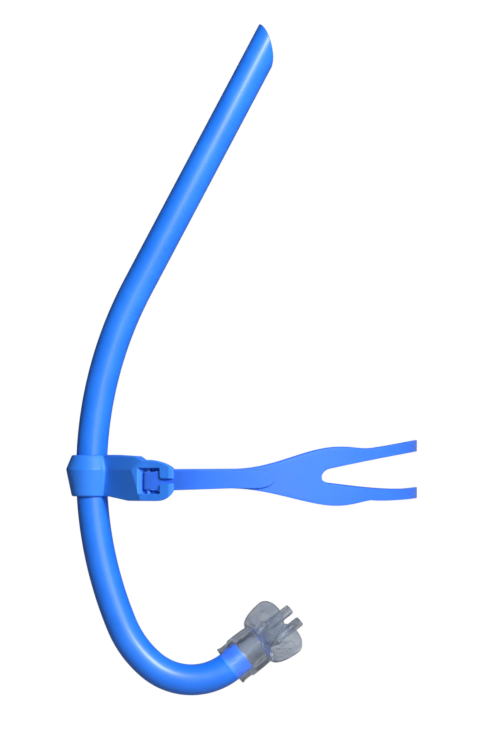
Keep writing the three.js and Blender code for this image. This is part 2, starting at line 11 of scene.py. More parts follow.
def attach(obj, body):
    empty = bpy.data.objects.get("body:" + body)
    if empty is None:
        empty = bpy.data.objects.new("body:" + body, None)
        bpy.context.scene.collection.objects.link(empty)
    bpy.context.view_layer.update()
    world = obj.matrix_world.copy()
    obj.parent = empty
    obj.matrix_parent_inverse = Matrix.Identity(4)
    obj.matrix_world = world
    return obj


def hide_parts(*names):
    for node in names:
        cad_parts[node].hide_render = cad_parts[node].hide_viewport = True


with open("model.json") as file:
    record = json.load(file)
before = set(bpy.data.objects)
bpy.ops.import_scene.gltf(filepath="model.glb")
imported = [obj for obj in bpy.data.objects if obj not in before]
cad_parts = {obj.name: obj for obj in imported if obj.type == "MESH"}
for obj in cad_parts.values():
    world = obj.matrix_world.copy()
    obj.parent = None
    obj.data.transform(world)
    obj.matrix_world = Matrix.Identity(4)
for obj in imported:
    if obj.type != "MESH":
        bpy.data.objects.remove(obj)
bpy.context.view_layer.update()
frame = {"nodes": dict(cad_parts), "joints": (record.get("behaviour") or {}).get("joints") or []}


# ---- Breathing tube ----
# One length of glossy blue PVC pipe, 22 mm across with a 1.5 mm wall. It is bent hot round three formers: a
# long bend past the forehead, a closer one at the cheek and a tight one under the chin. The free end is sawn
# off on a slant, so that it can't be shut by a hand or the water, and both ends are deburred.

mm = 0.001
joints = {joint["name"]: joint for joint in frame["joints"]}
sleeve_middle = Vector(joints["tube_turn"]["pos_m"])
main_bend_centre = Vector(joints["tube_slide"]["pos_m"])
mouthpiece_start = Vector(joints["mouthpiece_swivel"]["pos_m"])
mouthpiece_axis = Vector(joints["mouthpiece_swivel"]["axis"]).normalized()
same_place = 0.01 * mm
tube_radius = 11 * mm
tube_sides = 96
tip_bow = 3.2 * mm
tip_corner = 2.2 * mm
tip_corner_start = 0.75
tip_bevel = 0.4 * mm
tube_wall = 1.5 * mm
main_bend_radius = main_bend_centre.x - sleeve_middle.x
top_lean = radians(27.9)
main_bend_below = radians(22.5)
lower_bend_radius = 75 * mm
lower_bend = radians(27.5)
end_bend_radius = 44 * mm
end_bend = radians(78.3)
top_length = 195.2 * mm
socket_depth = 13 * mm
tip_cut = radians(43)
tip_turn = radians(10)


def start_on(piece):
    """Makes one object the only selected and active one."""
    if bpy.context.object and bpy.context.object.mode != "OBJECT":
        bpy.ops.object.mode_set(mode="OBJECT")
    bpy.ops.object.select_all(action="DESELECT")
    piece.select_set(True)
    bpy.context.view_layer.objects.active = piece
    return piece


def added(name):
    """Names the primitive that was just added, and puts its place into its mesh."""
    piece = bpy.context.object
    piece.name = name
    piece.data.name = name
    start_on(piece)
    bpy.ops.object.transform_apply(location=True, rotation=True, scale=True)
    return piece


def pick(piece, test, kind="verts"):
    """In edit mode, selects only the vertices, edges or faces that pass a test."""
    mesh = bmesh.from_edit_mesh(piece.data)
    bpy.ops.mesh.select_all(action="DESELECT")
    for part in getattr(mesh, kind):
        if test(part):
            part.select_set(True)
    mesh.select_flush(True)
    bmesh.update_edit_mesh(piece.data)


def apply_modifier(piece, kind, **settings):
    """Adds one modifier and applies it."""
    start_on(piece)
    modifier = piece.modifiers.new(kind.title(), kind)
    for key, value in settings.items():
        setattr(modifier, key, value)
    bpy.ops.object.modifier_apply(modifier=modifier.name)


def bevel_sharp(sharpness, width):
    """In edit mode, rounds the edges that are sharper than an angle, and leaves edit mode."""
    bpy.ops.mesh.select_all(action="DESELECT")
    bpy.ops.mesh.edges_select_sharp(sharpness=sharpness)
    bpy.ops.mesh.bevel(offset=width, segments=3, affect="EDGES")
    bpy.ops.object.mode_set(mode="OBJECT")


def heading_down(angle):
    """The way the tube points when it has turned by an angle on its way down from the sleeve."""
    return Vector((sin(angle), 0, -cos(angle)))


def inwards(angle):
    """From the tube towards the centre of the bend that it is in, on its way down."""
    return Vector((cos(angle), 0, sin(angle)))


bpy.ops.object.select_all(action="DESELECT")
bpy.ops.mesh.primitive_circle_add(
    vertices=tube_sides, radius=tube_radius, fill_type="NOTHING",
    location=(sleeve_middle.x, 0, main_bend_centre.z))
tube = added("breathing_tube")
bpy.ops.object.mode_set(mode="EDIT")

# Upwards: the main bend, then the straight top.
bpy.ops.mesh.select_all(action="SELECT")
bpy.ops.mesh.spin(steps=28, angle=-top_lean, center=main_bend_centre, axis=(0, 1, 0))
top_way = Vector((sin(top_lean), 0, cos(top_lean)))
bpy.ops.mesh.extrude_region_move(TRANSFORM_OT_translate={"value": top_way * (top_length + 2 * tube_radius)})

# Downwards: the rest of the main bend, the lower bend, the end bend, and the stub inside the mouthpiece.
apex_z = main_bend_centre.z
pick(tube, lambda v: abs(v.co.z - apex_z) < same_place)
place = Vector((sleeve_middle.x, 0, apex_z))
turned = 0
for radius, angle, steps in (
        (main_bend_radius, main_bend_below, 23),
        (lower_bend_radius, lower_bend, 18),
        (end_bend_radius, end_bend, 48)):
    centre = place + inwards(turned) * radius
    bpy.ops.mesh.spin(steps=steps, angle=angle, center=centre, axis=(0, 1, 0))
    turned += angle
    place = centre - inwards(turned) * radius
bpy.ops.mesh.extrude_region_move(TRANSFORM_OT_translate={"value": heading_down(turned) * socket_depth})
bpy.ops.mesh.select_all(action="SELECT")
bpy.ops.mesh.remove_doubles(threshold=0.001 * mm)
bpy.ops.mesh.normals_make_consistent(inside=False)
apply_modifier(tube, "SOLIDIFY", thickness=tube_wall, offset=-1)

# The tip: sawn off on a slant, and the wall closed again over the cut.
slant = (Matrix.Rotation(top_lean, 3, "Y") @ Matrix.Rotation(tip_turn, 3, "Z")
         @ Matrix.Rotation(tip_cut, 3, "Y") @ Vector((0, 0, 1)))
bend_end = main_bend_centre - Vector((cos(top_lean), 0, -sin(top_lean))) * main_bend_radius
tip_middle = bend_end + top_way * top_length
start_on(tube)
bpy.ops.object.mode_set(mode="EDIT")
bpy.ops.mesh.select_all(action="SELECT")
bpy.ops.mesh.bisect(plane_co=tip_middle, plane_no=slant, clear_outer=True)
bpy.ops.mesh.bridge_edge_loops()

# The saw's cut is then sanded to a slight bow, and its low corner is rounded off.
mesh = bmesh.from_edit_mesh(tube.data)
across = Vector((cos(top_lean), 0, -sin(top_lean)))
for v in mesh.verts:
    if abs((v.co - tip_middle).dot(slant)) < same_place:
        place = (v.co - tip_middle).dot(across) / tube_radius
        worn = max(0, place - tip_corner_start) / (1 - tip_corner_start)
        v.co += top_way * (tip_bow * (1 - place * place) - tip_corner * worn * worn)
bmesh.update_edit_mesh(tube.data)
bevel_sharp(radians(35), tip_bevel)
bpy.ops.object.shade_smooth_by_angle(angle=radians(40))


def new_finish(name):
    """A new material, with its nodes, links and surface shader."""
    material = bpy.data.materials.new(name)
    material.use_nodes = True
    tree = material.node_tree
    return material, tree.nodes, tree.links, tree.nodes["Principled BSDF"]


def put_on(piece, material):
    piece.data.materials.clear()
    piece.data.materials.append(material)


def ramp(nodes, links, value, stops):
    """A colour ramp fed by a value, with (place, colour) stops."""
    node = nodes.new("ShaderNodeValToRGB")
    for element, (place, colour) in zip(node.color_ramp.elements, (stops[0], stops[-1])):
        element.position, element.color = place, colour
    for place, colour in stops[1:-1]:
        node.color_ramp.elements.new(place).color = colour
    links.new(value, node.inputs["Fac"])
    return node.outputs["Color"]


def grey(value):
    return (value, value, value, 1)


def spread(nodes, links, value, low, high):
    """A 0 to 1 value stretched to run from low to high."""
    node = nodes.new("ShaderNodeMapRange")
    node.inputs["To Min"].default_value = low
    node.inputs["To Max"].default_value = high
    links.new(value, node.inputs["Value"])
    return node.outputs["Result"]


def mottle(nodes, links, place, scale, detail=3, roughness=0.5):
    node = nodes.new("ShaderNodeTexNoise")
    node.inputs["Scale"].default_value = scale
    node.inputs["Detail"].default_value = detail
    node.inputs["Roughness"].default_value = roughness
    links.new(place, node.inputs["Vector"])
    return node.outputs["Fac"]


def multiplied(nodes, links, value, by):
    node = nodes.new("ShaderNodeMath")
    node.operation = "MULTIPLY"
    links.new(value, node.inputs[0])
    links.new(by, node.inputs[1])
    return node.outputs[0]


def bumped(nodes, links, height, strength, distance, under=None):
    """The normal of a relief that is so many metres high, laid over another normal where one is given."""
    node = nodes.new("ShaderNodeBump")
    node.inputs["Strength"].default_value = strength
    node.inputs["Distance"].default_value = distance
    links.new(height, node.inputs["Height"])
    if under:
        links.new(under, node.inputs["Normal"])
    return node.outputs["Normal"]


# Glossy pipe: faint lines run along it from the extruder's die, it is never quite even in gloss, and there
# are fine rub marks where hands hold it and the sleeve slides.
pipe_blue, nodes, links, surface = new_finish("glossy_blue_pipe")
surface.inputs["IOR"].default_value = 1.49
surface.inputs["Coat Weight"].default_value = 0.35
surface.inputs["Coat Roughness"].default_value = 0.26
spot = nodes.new("ShaderNodeTexCoord").outputs["Object"]
sideways = nodes.new("ShaderNodeSeparateXYZ")
links.new(spot, sideways.inputs[0])
die_lines = nodes.new("ShaderNodeTexNoise")
die_lines.noise_dimensions = "1D"
die_lines.inputs["Scale"].default_value = 2200
die_lines.inputs["Detail"].default_value = 3
links.new(sideways.outputs["Y"], die_lines.inputs["W"])
clouds = mottle(nodes, links, spot, 45)
rubs = mottle(nodes, links, spot, 900, 6, 0.7)
links.new(ramp(nodes, links, clouds, [(0.35, (0.011, 0.175, 0.86, 1)), (0.65, (0.016, 0.2, 0.94, 1))]),
          surface.inputs["Base Color"])
uneven = spread(nodes, links, clouds, 0.85, 1.15)
rubbed = spread(nodes, links, rubs, 0.4, 0.56)
links.new(multiplied(nodes, links, uneven, rubbed), surface.inputs["Roughness"])
relief = bumped(nodes, links, die_lines.outputs["Fac"], 0.3, 0.012 * mm)
waves = bumped(nodes, links, mottle(nodes, links, spot, 120, 2), 0.3, 0.15 * mm, relief)
links.new(waves, surface.inputs["Normal"])
put_on(tube, pipe_blue)
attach(tube, "tube")
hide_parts("tube")


# ---- Head bracket ----
# One satin blue moulding: a double-coned sleeve that the tube turns in, two faceted arms along the brow and a
# strap buckle at the end of each, with a window, a slit between two jaws and a hole for the strap's pin. Its
# edges are soft from the mould, and the arms and the sleeve flow together.

sleeve_top = 14.7 * mm
sleeve_edge_radius = 14.2 * mm
sleeve_chamfer = 0.8 * mm
ridge_radius = 18 * mm
ridge_height = 4.5 * mm
ridge_band = 0.8 * mm
bore_radius = 11.8 * mm
pocket_radius = 12.95 * mm
pocket_half = 7 * mm
face_x = 15.25 * mm
face_half = 8 * mm
elbow_x = 28.3 * mm
elbow_y = 40 * mm
splay = radians(35)
buckle_length = 35.6 * mm
buckle_thickness = 7 * mm
buckle_end_bevel = 3 * mm
arm_top = 13.6 * mm
arm_bottom = -17.6 * mm
buckle_top = 10.9 * mm
upper_facet = 9.5 * mm
lower_facet = 8.3 * mm
strap_width = 15.2 * mm
strap_middle = -3.4 * mm
strap_side_play = 1.5 * mm
window_start = 5.4 * mm
window_end = 24.5 * mm
jaw_thickness = 2.4 * mm
jaw_slit = 3.3 * mm
pin_radius = 1.4 * mm
pin_at = 12.1 * mm
pin_depth = 4.65 * mm
pin_engagement = 3 * mm
pin_play = 0.3 * mm
fold_pinch = 1.2 * mm
widens_from = 18 * mm
arm_root = (4 * mm, -6 * mm)
arm_lap = 3 * mm
cutter_reach = 3 * mm
cutter_lap = 1 * mm
moulding_voxel = 0.28 * mm
moulding_mesh_kept = 0.32
crease_at = 8.8 * mm
crease_reach = 4 * mm
crease_margin = 2 * mm
window_top = strap_middle + strap_width / 2 + strap_side_play
window_bottom = strap_middle - strap_width / 2 - strap_side_play


def by_sleeve(x, y, z):
    """A place given from the middle of the sleeve."""
    return Vector((sleeve_middle.x + x, y, z))


def on_buckle(along, depth, z=0):
    """A place on the left buckle, given along it from the elbow and inwards from its outer face."""
    return by_sleeve(elbow_x + along * cos(splay) + depth * sin(splay),
                     -elbow_y - along * sin(splay) + depth * cos(splay), z)


def new_piece(name, places, faces):
    """An object made of places and faces, which is then the selected and active one."""
    mesh = bpy.data.meshes.new(name)
    mesh.from_pydata(places, [], faces)
    piece = bpy.data.objects.new(name, mesh)
    bpy.context.collection.objects.link(piece)
    return start_on(piece)


def face_out(piece):
    """Turns all faces of a piece to its outside."""
    start_on(piece)
    bpy.ops.object.mode_set(mode="EDIT")
    bpy.ops.mesh.select_all(action="SELECT")
    bpy.ops.mesh.normals_make_consistent(inside=False)
    bpy.ops.object.mode_set(mode="OBJECT")
    return piece


def slab(name, corners, way):
    """A flat outline carried one way to a closed solid."""
    piece = new_piece(name, corners, [range(len(corners))])
    bpy.ops.object.mode_set(mode="EDIT")
    bpy.ops.mesh.select_all(action="SELECT")
    bpy.ops.mesh.extrude_region_move(TRANSFORM_OT_translate={"value": way})
    return face_out(piece)


def turned_solid(name, outline, x=0, sides=96):
    """A round solid about an upright line: rings of radius and height are stretched up from a round face."""
    bpy.ops.object.select_all(action="DESELECT")
    radius, height = outline[0]
    bpy.ops.mesh.primitive_circle_add(
        vertices=sides, radius=radius, fill_type="NGON", location=(x, 0, height))
    piece = added(name)
    bpy.ops.object.mode_set(mode="EDIT")
    bpy.ops.mesh.select_all(action="SELECT")
    for next_radius, next_height in outline[1:]:
        bpy.ops.mesh.extrude_region_move(TRANSFORM_OT_translate={"value": (0, 0, next_height - height)})
        scale = next_radius / radius
        bpy.ops.transform.resize(value=(scale, scale, 1), center_override=(x, 0, next_height))
        radius, height = next_radius, next_height
    return face_out(piece)


def curved(start, pull_a, pull_b, end, steps=10):
    """Points on a smooth curve that leaves start towards pull_a and reaches end from pull_b, after start."""
    places = []
    for i in range(1, steps + 1):
        t = i / steps
        weights = ((1 - t) ** 3, 3 * t * (1 - t) ** 2, 3 * t * t * (1 - t), t ** 3)
        places.append([sum(w * p[k] for w, p in zip(weights, (start, pull_a, pull_b, end))) for k in (0, 1)])
    return places


def cut_by(piece, cutters, how="DIFFERENCE"):
    """Cuts a solid by others, which stay for the next solid."""
    for cutter in cutters:
        apply_modifier(piece, "BOOLEAN", object=cutter, operation=how, solver="EXACT")
    return piece


def joined(piece, *others):
    """Joins closed solids into one object. They overlap, and the remesh that follows makes them one skin."""
    start_on(piece)
    for other in others:
        other.select_set(True)
    bpy.ops.object.join()
    return piece


def block(name, middle, size, turn=0):
    bpy.ops.object.select_all(action="DESELECT")
    bpy.ops.mesh.primitive_cube_add(size=1, location=middle, rotation=(0, 0, turn), scale=size)
    return added(name)


def buckle_block(along, depth, heights):
    """A block in the left buckle's own directions, between the two values given for each."""
    (a0, a1), (d0, d1), (z0, z1) = along, depth, heights
    return block("buckle_block", on_buckle((a0 + a1) / 2, (d0 + d1) / 2, (z0 + z1) / 2),
                 (a1 - a0, d1 - d0, z1 - z0), -splay)


def rod(name, radius, x, y, z0, z1, sides=64):
    bpy.ops.object.select_all(action="DESELECT")
    bpy.ops.mesh.primitive_cylinder_add(
        vertices=sides, radius=radius, depth=z1 - z0, location=(x, y, (z0 + z1) / 2))
    return added(name)


# The sleeve: rings from its lower rim up over the ridge to its upper rim.
rim_radius = sleeve_edge_radius - sleeve_chamfer
bracket = turned_solid("head_bracket", [
    (rim_radius, -sleeve_top), (sleeve_edge_radius, -sleeve_top + sleeve_chamfer),
    (ridge_radius, ridge_height - ridge_band / 2), (ridge_radius, ridge_height + ridge_band / 2),
    (sleeve_edge_radius, sleeve_top - sleeve_chamfer), (rim_radius, sleeve_top)], sleeve_middle.x, 128)

# The left arm: sections from inside the sleeve out to the buckle's front corner, where the ridge line ends.
# Above and below the ridge the arm has one long facet each. The last section lies inside the buckle.
root = by_sleeve(*arm_root, 0)
flat_end = by_sleeve(face_x, -face_half, 0)
elbow, upper, lower = on_buckle(0, 0), on_buckle(upper_facet, 0), on_buckle(lower_facet, 0)
arm_end = on_buckle(lower_facet, buckle_thickness)


def lifted(place, z):
    return (place.x, place.y, z)


def between(value, stops):
    """The height at one share of the arm's length, on straight lines between (share, height) stops."""
    for (share, height), (next_share, next_height) in zip(stops, stops[1:]):
        if value <= next_share:
            return height + (next_height - height) * (value - share) / (next_share - share)
    return stops[-1][1]


def lofted(name, rings):
    """A closed solid through rings of places that all have the same count, with its two ends filled."""
    count = len(rings[0])
    faces = [list(range(count))[::-1], [len(rings) * count - count + i for i in range(count)]]
    for r in range(len(rings) - 1):
        for i in range(count):
            j = (i + 1) % count
            faces.append([r * count + i, r * count + j, (r + 1) * count + j, (r + 1) * count + i])
    return face_out(new_piece(name, [place for ring in rings for place in ring], faces))


arm_steps = 20
facet_steps = 6
sections = []
for i in range(arm_steps + 1):
    share = i / arm_steps
    over = between(share, ((0, sleeve_top), (0.25, sleeve_top), (0.85, arm_top), (1, buckle_top)))
    under = between(share, ((0, -sleeve_top), (0.25, -sleeve_top), (0.7, arm_bottom), (1, arm_bottom)))
    inner = flat_end.lerp(arm_end, share)
    ridge = Vector(lifted(root.lerp(elbow, share), ridge_height))
    foot = Vector(lifted(root.lerp(lower, share), under))
    crest = Vector(lifted(root.lerp(upper, share), over))
    ring = [lifted(inner, over)]
    ring += [crest.lerp(ridge, k / facet_steps) for k in range(facet_steps)]
    ring += [ridge.lerp(foot, k / facet_steps) for k in range(facet_steps + 1)]
    sections.append(ring + [lifted(inner, under)])
inset = 1 * mm
crest = on_buckle(upper_facet + arm_lap, inset, buckle_top - inset)
ridge = on_buckle(5 * mm, inset, ridge_height)
foot = on_buckle(lower_facet + arm_lap, inset, arm_bottom + inset)
ring = [on_buckle(lower_facet + arm_lap, buckle_thickness - inset, buckle_top - inset)]
ring += [crest.lerp(ridge, k / facet_steps) for k in range(facet_steps)]
ring += [ridge.lerp(foot, k / facet_steps) for k in range(facet_steps + 1)]
sections.append(ring + [on_buckle(lower_facet + arm_lap, buckle_thickness - inset, arm_bottom + inset)])
arm = lofted("arm", sections)

# The buckle: its plan carried up, and trimmed to its outline from the side, which ends round behind the jaws.
end = buckle_length
plan = slab("buckle", [on_buckle(along, depth, arm_bottom) for along, depth in (
    (0, 0), (end - buckle_end_bevel, 0), (end, buckle_end_bevel / 2), (end, buckle_thickness),
    (lower_facet, buckle_thickness), (lower_facet / 2, buckle_thickness / 2))],
    (0, 0, buckle_top - arm_bottom))
front = sleeve_middle.x + elbow_x
straight = on_buckle(window_end - buckle_thickness, 0).x
rear = on_buckle(end, buckle_thickness / 2).x
rear_top = strap_middle + strap_width / 2 - 0.8 * mm
rear_bottom = strap_middle - strap_width / 2 + 1.5 * mm
side = [(front, ridge_height), (upper.x, buckle_top), (straight, buckle_top)]
side += curved(side[-1], (straight + 7.5 * mm, buckle_top - 1 * mm), (rear - 3 * mm, rear_top + 4.1 * mm),
               (rear, rear_top))
side += [(rear, rear_bottom)]
side += curved(side[-1], (rear - 3 * mm, rear_bottom - 5 * mm), (rear - 7 * mm, arm_bottom),
               (rear - 13 * mm, arm_bottom))
side += [(lower.x, arm_bottom)]
outline = slab("outline", [(x, -2 * elbow_y, z) for x, z in side], (0, 2 * elbow_y, 0))
cut_by(plan, [outline], "INTERSECT")

# Its cuts: the window, the strap's channel under the jaws, the slit with its flared mouth, and the pin's
# hole.
past = buckle_thickness + cutter_reach
slit_bottom = strap_middle - jaw_slit / 2
slope_end = 8.2 * mm
ledge_depth = buckle_thickness - 1.5 * mm
window = slab("window", [on_buckle(along, depth, window_bottom) for along, depth in (
    (window_start, -cutter_reach), (window_start, 0), (slope_end, ledge_depth), (window_end, ledge_depth),
    (window_end, -cutter_reach))], (0, 0, window_top - window_bottom))
half_gap = strap_width / 2
window_back = slab("window_back", [on_buckle(along, jaw_thickness, strap_middle + z) for along, z in (
    (slope_end, half_gap - fold_pinch), (widens_from, half_gap - fold_pinch), (window_end, half_gap),
    (window_end, -half_gap), (widens_from, fold_pinch - half_gap), (slope_end, fold_pinch - half_gap))],
    on_buckle(0, past) - on_buckle(0, jaw_thickness))
jaws = (window_end - cutter_lap, end + cutter_reach)
channel = buckle_block(jaws, (jaw_thickness, past), (window_bottom, window_top))
slit = buckle_block(jaws, (-cutter_reach, past), (slit_bottom, slit_bottom + jaw_slit))
flare = 1.3 * mm
mouth = slab("mouth", [on_buckle(along, -cutter_reach, z) for along, z in (
    (window_end - cutter_lap, slit_bottom - flare), (window_end + 2.2 * mm, slit_bottom + 0.1 * mm),
    (window_end + 2.2 * mm, slit_bottom + jaw_slit - 0.1 * mm),
    (window_end - cutter_lap, slit_bottom + jaw_slit + flare))],
    on_buckle(0, past) - on_buckle(0, -cutter_reach))
pin_place = on_buckle(pin_at, pin_depth)
hole = rod("hole", pin_radius + pin_play, pin_place.x, pin_place.y,
           window_bottom - pin_engagement - pin_play, buckle_top + cutter_reach)
bore = rod("bore", bore_radius, sleeve_middle.x, 0, -2 * sleeve_top, 2 * sleeve_top, 128)
pocket = rod("pocket", pocket_radius, sleeve_middle.x, 0, -pocket_half, pocket_half, 128)
buckle_cuts = [window, window_back, channel, slit, mouth, hole]
cut_by(plan, buckle_cuts)
cut_by(arm, [*buckle_cuts, bore, pocket])
joined(arm, plan)

# The right arm is the left one mirrored.
start_on(arm)
bpy.ops.object.duplicate()
other_arm = bpy.context.object
bpy.ops.transform.mirror(constraint_axis=(False, True, False), center_override=(0, 0, 0))
bpy.ops.object.transform_apply(location=True, rotation=True, scale=True)
face_out(other_arm)

# Between the arms the sleeve is cut flat on its head side, where the pad sits, and slopes off along the
# wings.
back = block("back", by_sleeve(face_x / 2, 0, 0), (face_x, 2 * face_half, 2 * sleeve_top))
far = on_buckle(end, 0).x + 2 * buckle_thickness
head_space = slab("head_space", [
    by_sleeve(face_x, -face_half, -2 * sleeve_top), lifted(arm_end, -2 * sleeve_top),
    (far, arm_end.y, -2 * sleeve_top), (far, -arm_end.y, -2 * sleeve_top),
    (arm_end.x, -arm_end.y, -2 * sleeve_top), by_sleeve(face_x, face_half, -2 * sleeve_top)],
    (0, 0, 4 * sleeve_top))
cut_by(bracket, [head_space, bore, pocket])
cut_by(back, [bore, pocket])
joined(bracket, back, arm, other_arm)
for cutter in (*buckle_cuts, outline, bore, pocket, head_space):
    bpy.data.objects.remove(cutter)

# The moulding's soft edges and the blends in its inside corners.
apply_modifier(bracket, "REMESH", mode="VOXEL", voxel_size=moulding_voxel, use_smooth_shade=True)
apply_modifier(bracket, "SMOOTH", factor=0.5, iterations=12)
apply_modifier(bracket, "DECIMATE", ratio=moulding_mesh_kept)

# Where the arms leave the sleeve the two flow together. The smoothing also reaches through to the pocket, and
# draws its wall inwards there, up to 0.6 mm into the grip bush.
crease = root + (elbow - root).normalized() * crease_at
start_on(bracket)
bpy.ops.object.mode_set(mode="EDIT")
pick(bracket, lambda v: (hypot(v.co.x - crease.x, abs(v.co.y) + crease.y) < crease_reach
                         and abs(v.co.z) < sleeve_top - crease_margin))
bpy.ops.mesh.vertices_smooth(factor=0.5, repeat=90)
bpy.ops.object.mode_set(mode="OBJECT")


def group_socket(group, name, way, kind="NodeSocketFloat", value=None):
    socket = group.interface.new_socket(name=name, in_out=way, socket_type=kind)
    if value is not None:
        socket.default_value = value


# The skin of a moulded part, for every moulded material: spark-eroded grain, uneven gloss and pale patches
# where the material cooled last. Grain is how many grains fit in a metre and Relief is how deep they are, in
# metres.
moulded_skin = bpy.data.node_groups.new("moulded_skin", "ShaderNodeTree")
for name, value in (
        ("Grain", 2500), ("Relief", 0.01 * mm), ("Patch", 40), ("Smoothest", 0.3), ("Roughest", 0.5)):
    group_socket(moulded_skin, name, "INPUT", value=value)
group_socket(moulded_skin, "Roughness", "OUTPUT")
group_socket(moulded_skin, "Patches", "OUTPUT")
group_socket(moulded_skin, "Normal", "OUTPUT", "NodeSocketVector")
nodes, links = moulded_skin.nodes, moulded_skin.links
given, out = nodes.new("NodeGroupInput"), nodes.new("NodeGroupOutput")
spot = nodes.new("ShaderNodeTexCoord").outputs["Object"]
grains = mottle(nodes, links, spot, 1, 4, 0.6)
links.new(given.outputs["Grain"], grains.node.inputs["Scale"])
relief = bumped(nodes, links, grains, 1, mm)
links.new(given.outputs["Relief"], relief.node.inputs["Distance"])
links.new(relief, out.inputs["Normal"])
patches = mottle(nodes, links, spot, 1, 4)
links.new(given.outputs["Patch"], patches.node.inputs["Scale"])
evened = nodes.new("ShaderNodeMapRange")
evened.inputs["From Min"].default_value = 0.3
evened.inputs["From Max"].default_value = 0.7
links.new(patches, evened.inputs["Value"])
links.new(evened.outputs["Result"], out.inputs["Patches"])
blend = nodes.new("ShaderNodeMath")
blend.operation = "ADD"
blend.use_clamp = True
links.new(spread(nodes, links, grains, -0.4, 0.4), blend.inputs[0])
links.new(evened.outputs["Result"], blend.inputs[1])
gloss = nodes.new("ShaderNodeMapRange")
links.new(blend.outputs[0], gloss.inputs["Value"])
links.new(given.outputs["Smoothest"], gloss.inputs["To Min"])
links.new(given.outputs["Roughest"], gloss.inputs["To Max"])
links.new(gloss.outputs["Result"], out.inputs["Roughness"])

# Edges and corners made paler, partly handling wear and partly a painted highlight along them: a mask from 0
# in hollows to 1 on edges.
handled_edges = bpy.data.node_groups.new("handled_edges", "ShaderNodeTree")
group_socket(handled_edges, "Edges", "OUTPUT")
nodes, links = handled_edges.nodes, handled_edges.links
out = nodes.new("NodeGroupOutput")
bend = nodes.new("ShaderNodeNewGeometry").outputs["Pointiness"]
spot = nodes.new("ShaderNodeTexCoord").outputs["Object"]
edges = nodes.new("ShaderNodeMapRange")
edges.inputs["From Min"].default_value = 0.49
edges.inputs["From Max"].default_value = 0.64
links.new(bend, edges.inputs["Value"])
# The mask is broken up by noise, so that the painted highlight and wear along the edges are uneven.
broken = spread(nodes, links, mottle(nodes, links, spot, 260, 5), 0.6, 1.2)
links.new(multiplied(nodes, links, edges.outputs["Result"], broken), out.inputs["Edges"])


def add_group(nodes, group, **values):
    node = nodes.new("ShaderNodeGroup")
    node.node_tree = group
    for key, value in values.items():
        node.inputs[key].default_value = value
    return node


def blended(nodes, links, share, colour_a, colour_b):
    """Between two colours by a share. Each is four numbers or another node's output."""
    node = nodes.new("ShaderNodeMix")
    node.data_type = "RGBA"
    links.new(share, node.inputs[0])
    for colour, socket in ((colour_a, node.inputs[6]), (colour_b, node.inputs[7])):
        if isinstance(colour, tuple):
            socket.default_value = colour
        else:
            links.new(colour, socket)
    return node.outputs[2]


def moulded_finish(name, colours, edge_wear_and_highlight_colour=None, **skin_values):
    """A new material with the moulded skin, patchy between two colours, and paler at edges: wear and a
    painted highlight.
    """
    material, nodes, links, surface = new_finish(name)
    skin = add_group(nodes, moulded_skin, **skin_values)
    colour = blended(nodes, links, skin.outputs["Patches"], *colours)
    if edge_wear_and_highlight_colour:
        # Where an edge colour is given, edges are painted paler: partly wear, partly a painted highlight.
        edges = add_group(nodes, handled_edges)
        colour = blended(nodes, links, edges.outputs["Edges"], colour, edge_wear_and_highlight_colour)
    links.new(colour, surface.inputs["Base Color"])
    links.new(skin.outputs["Roughness"], surface.inputs["Roughness"])
    links.new(skin.outputs["Normal"], surface.inputs["Normal"])
    return material, surface


# Satin blue, painted paler along edges and corners: partly wear, partly a painted highlight.
satin_blue, surface = moulded_finish(
    "satin_blue_moulding", [(0.024, 0.205, 0.88, 1), (0.034, 0.235, 0.95, 1)], (0.055, 0.285, 0.98, 1),
    Grain=1800, Relief=0.012 * mm, Patch=55, Smoothest=0.42, Roughest=0.58)
surface.inputs["IOR"].default_value = 1.46
put_on(bracket, satin_blue)
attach(bracket, "head_bracket")
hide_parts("bracket")


# ---- Grip bush ----
# A short ring of black rubber held captive in the sleeve's pocket. It grips the tube, so that the tube stays
# where it is turned and slid to. Only a thin line of it can be seen past the sleeve's rims.

bush_rubber, surface = moulded_finish(
    "black_rubber", [(0.010, 0.010, 0.011, 1), (0.028, 0.028, 0.03, 1)],
    Grain=3200, Relief=0.03 * mm, Patch=150, Smoothest=0.65, Roughest=0.9)
for slot in frame["nodes"]["grip_bush"].material_slots:
    slot.material = bush_rubber


# ---- Strap pins ----
# Two moulded blue pins, each pushed down into its buckle across the window. The strap folds round them. Their
# ends are chamfered so that they find their holes. Their blue is paler than the bracket's, a painted
# highlight standing for their brightly lit ends, and their edges are painted paler still, partly wear and
# partly highlight.

pin_bevel = 0.3 * mm
pin_blue, surface = moulded_finish(
    "pale_blue_pin", [(0.07, 0.34, 0.95, 1), (0.1, 0.4, 1, 1)], (0.16, 0.48, 1, 1),
    Grain=2600, Relief=0.006 * mm, Patch=300, Smoothest=0.2, Roughest=0.34)
for side_name, side_sign in (("left", 1), ("right", -1)):
    pin = rod(f"pin_{side_name}", pin_radius, pin_place.x, side_sign * pin_place.y,
              window_bottom - pin_engagement, window_top + pin_engagement, 48)
    bpy.ops.object.mode_set(mode="EDIT")
    bevel_sharp(radians(60), pin_bevel)
    bpy.ops.object.shade_smooth_by_angle(angle=radians(40))
    put_on(pin, pin_blue)
    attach(pin, "head_bracket")
    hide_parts(f"strap_pin_{side_name}")


# ---- Forehead pad ----
# A soft pad of closed-cell foam, moulded with a crowned face and thinner edges. It is glued along the head
# side of the bracket, flat in the middle and bent forward with the arms at its two wings.

pad_seat = 0.3 * mm
pad_thickness = 3.4 * mm
pad_bevel = 0.35 * mm
pad_edge_share = 0.45
pad_top = 10.5 * mm
pad_bottom = -13 * mm
pad_wing = 22 * mm
pad_fold_depth = 0.5 * mm
pad_fold_width = 1.2 * mm
wing_way = (arm_end - flat_end).normalized()
pad_half = face_half + pad_wing


